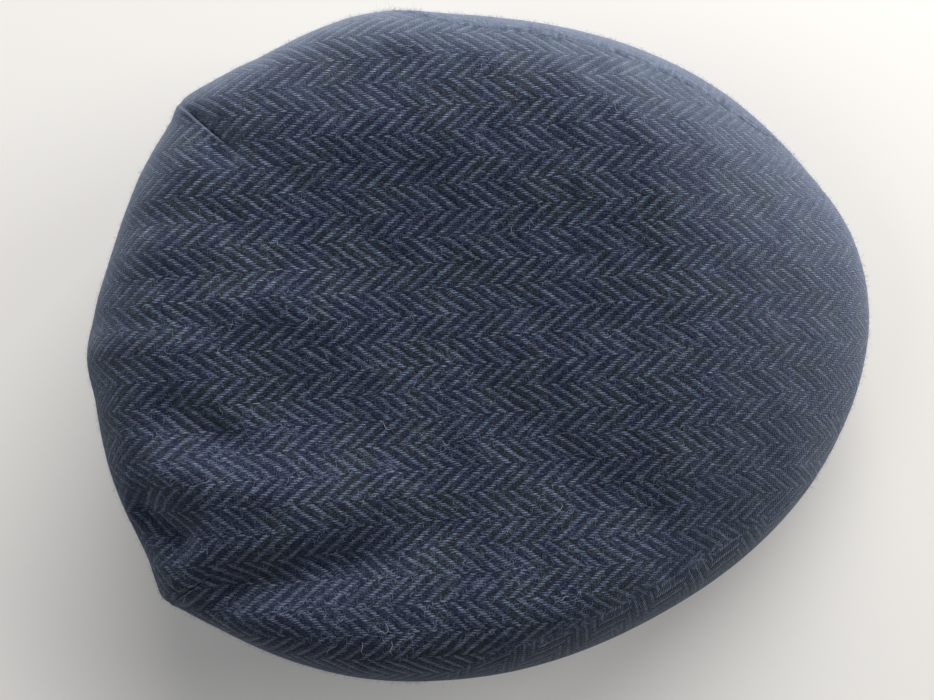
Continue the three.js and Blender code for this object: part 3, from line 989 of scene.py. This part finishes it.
def makeSidePanel(settings, side):
    count = int((180 - settings["start"]) * settings["columnsPerDegree"]) + 1
    angles = np.linspace(settings["start"], 180, count)
    if side < 0:
        angles = -angles[::-1]
    seam = seamAt(angles)
    probe = probes["way"]
    down = skin(angles, seam + probe) - skin(angles, seam)
    before, after = angles - probes["turn"], angles + probes["turn"]
    along = skin(after, seamAt(after)) - skin(before, seamAt(before))
    along /= np.linalg.norm(along, axis=1, keepdims=True)
    start = seam + probe * capSize["seamGap"] / np.linalg.norm(np.cross(down, along), axis=1)
    ways = waysAtLengths(angles, start, np.full(count, 2.0),
                         lambda total: rowsTo(total, settings["rows"], settings["edgeBand"], atStart=True))
    ways[:, 0], ways[:, -1] = start, 2.0
    turn = angles[:, None]
    place = skin(turn, ways)
    normal = skinNormal(turn, ways)
    steps = np.linalg.norm(np.diff(place, axis=1), axis=2)
    run = np.concatenate((np.zeros((count, 1)), np.cumsum(steps, axis=1)), axis=1)
    outer = place - normal * turnedUnder(run, settings["edgeBand"])[..., None]
    inner = liningOf(turn, ways, place, normal)
    edge = np.abs(angles) == 180
    outer[edge, :, 1] += side * capSize["seamGap"] / 2
    inner[edge, :, 1] += side * capSize["seamGap"] / 2
    widest = skin(angles, np.ones(count))
    hoop = np.concatenate(([0], np.cumsum(np.linalg.norm(np.diff(widest, axis=0), axis=1))))
    hoop = np.repeat(hoop[:, None] * side, ways.shape[1], axis=1)
    slant = math.radians(settings["slant"])
    uv = np.stack((hoop * math.cos(slant) + run * math.sin(slant),
                   run * math.cos(slant) - hoop * math.sin(slant)), -1)
    name = "sideClothLeft" if side > 0 else "sideClothRight"
    piece = clothMesh(name, outer, inner, uv)
    piece.data.materials.append(woolCloth)
    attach(piece, "root")
    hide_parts("side_panel_left" if side > 0 else "side_panel_right")
    fuzzName = "sideFuzzLeft" if side > 0 else "sideFuzzRight"
    # the right panel's grid is turned round, so its fibres lean into the cloth and hardly show
    addFuzz(fuzzName, outer if side > 0 else outer[::-1], 12 if side > 0 else 13, 0)
    return piece


leftPiece = makeSidePanel(sidePanel, 1)
rightPiece = makeSidePanel(sidePanel, -1)
print("side panels made", len(leftPiece.data.polygons), len(rightPiece.data.polygons))


# The peak

peakCover = {"columnsPerDegree": 1, "rows": 30, "edgeRows": 6, "firstTurn": 0.02}


def makePeak(settings):
    horn = peakSize["hornAngle"]
    angles = np.linspace(-horn, horn, int(2 * horn * settings["columnsPerDegree"]) + 1)
    reach = halfLength * peakEdgeShare(0.0) + capSize["openingBack"] - capSize["openingLength"] / 2
    rounded = peakSize["thickness"] / 2 / reach
    turns = np.linspace(0, math.pi / 2, settings["edgeRows"], endpoint=False) + settings["firstTurn"]
    inward = np.concatenate((rounded * (1 - np.cos(turns)), np.linspace(rounded, 1, settings["rows"])))
    x, y = outlineAt(angles)

    def face(side):
        upTo = np.concatenate((np.sin(turns), np.ones(settings["rows"])))
        share = mix(peakEdgeShare(angles)[:, None], openingShare(angles)[:, None], inward[None, :])
        height = (peakLiftAt(angles[:, None], inward[None, :])
                  + (1 + side * upTo[None, :]) / 2 * peakThicknessAt(angles)[:, None])
        return np.stack((x[:, None] * share, y[:, None] * share, height), -1)[:, ::-1]

    upper, lower = face(1), face(-1)
    piece = clothMesh("peakCloth", upper, lower, upper[..., :2])
    piece.data.materials.append(woolCloth)
    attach(piece, "root")
    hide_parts("peak")


makePeak(peakCover)
print("peak made")
